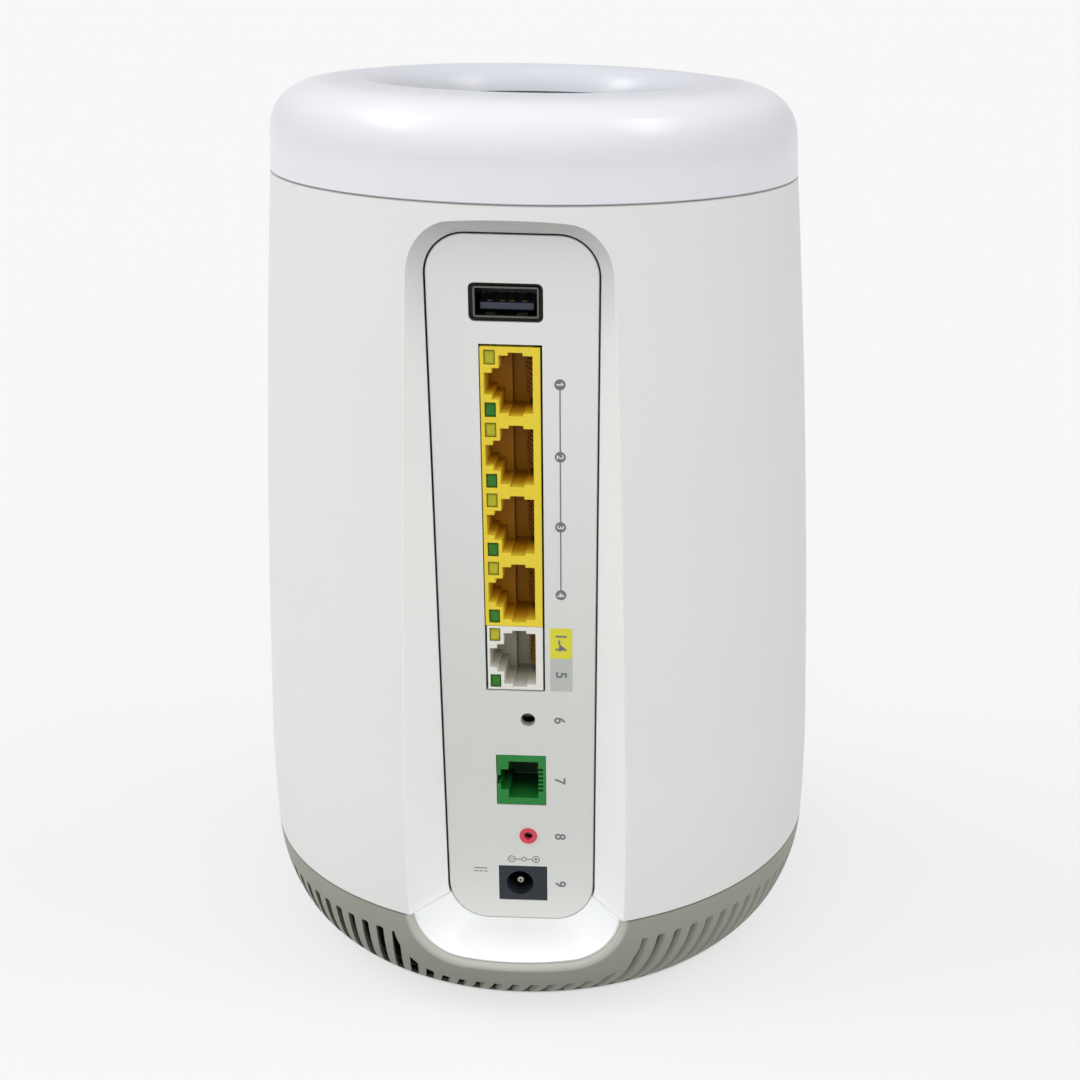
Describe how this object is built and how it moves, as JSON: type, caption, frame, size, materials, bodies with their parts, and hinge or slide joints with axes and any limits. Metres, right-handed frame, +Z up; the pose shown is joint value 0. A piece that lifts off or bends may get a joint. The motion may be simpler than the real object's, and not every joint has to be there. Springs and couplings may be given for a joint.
{
  "type": "wireless router",
  "caption": "Tall round white wireless router with a grey vented base, an open dished top ring and a recessed panel of network, telephone, USB and power sockets.",
  "frame": {"origin": "centre of the object's bounding box, on the plane of its feet", "axes": "+Z up along the tower; the ports face -Y; +X is to the right when looking at the ports"},
  "size_m": [0.133, 0.1302, 0.1997],
  "materials": {
    "shell_white": "satin matt white",
    "panel_white": "fine matt pale grey-white",
    "chute_white": "smooth bright white",
    "ring_white": "satin gloss white",
    "base_grey": "matt warm grey",
    "plate_grey": "fine textured grey",
    "foot_rubber": "matt black",
    "grille_white": "matt white",
    "reset_red": "smooth red",
    "port_yellow": "smooth yellow",
    "port_white": "smooth white",
    "port_green": "smooth green",
    "window_amber": "clear amber",
    "window_green": "clear green",
    "contact_gold": "gold-plated",
    "lens_clear": "frosted clear",
    "socket_steel": "plated",
    "tongue_blue": "dark blue-grey",
    "surround_black": "matt black",
    "inlet_charcoal": "matt charcoal",
    "pin_steel": "nickel-plated",
    "button_grey": "fine matt grey",
    "switch_black": "matt black",
    "board_green": "green solder mask",
    "frame_black": "matt black",
    "chip_black": "matt black moulding",
    "pad_grey": "soft grey",
    "sink_aluminium": "extruded",
    "shield_steel": "tinned",
    "screw_steel": "zinc-plated",
    "lead_black": "smooth black"
  },
  "bodies": {
    "housing": {"body_shell": "shell_white", "port_panel": "panel_white", "cable_chute": "chute_white", "top_ring": "ring_white", "base_ring": "base_grey", "base_plate": "plate_grey", "rubber_feet": "foot_rubber", "base_screws": "screw_steel", "top_grille": "grille_white", "reset_ring": "reset_red", "lan_block": "port_yellow", "wan_jack": "port_white", "amber_windows": "window_amber", "green_windows": "window_green", "network_contacts": "contact_gold", "dsl_jack": "port_green", "dsl_contacts": "contact_gold", "dsl_light": "lens_clear", "usb_shell": "socket_steel", "usb_tongue": "tongue_blue", "usb_contacts": "contact_gold", "usb_surround": "surround_black", "dc_jack": "inlet_charcoal", "dc_pin": "pin_steel", "reset_switch": "switch_black", "main_board": "board_green", "inner_frame": "frame_black", "board_screws": "screw_steel", "processor_chip": "chip_black", "thermal_pad": "pad_grey", "heat_sink": "sink_aluminium", "memory_chips": "chip_black", "rf_shields": "shield_steel", "lan_magnetics": "chip_black", "capacitors": "sink_aluminium", "front_board": "board_green", "pair_switch": "switch_black", "front_lens": "lens_clear", "status_leds": "lens_clear", "antenna_carrier": "frame_black", "antennas": "board_green", "antenna_leads": "lead_black"},
    "reset_plunger": {"reset_button": "button_grey"},
    "pair_plunger": {"pair_button": "button_grey"}
  },
  "joints": [
    {"name": "reset_press", "type": "slide", "parent": "housing", "child": "reset_plunger", "axis": [0, 1, 0], "range_m": [0, 0.0005], "stiffness_N_per_m": 200, "springref_m": -0.002},
    {"name": "pair_press", "type": "slide", "parent": "housing", "child": "pair_plunger", "axis": [0, -1, 0], "range_m": [0, 0.0008], "stiffness_N_per_m": 400, "springref_m": -0.002}
  ]
}
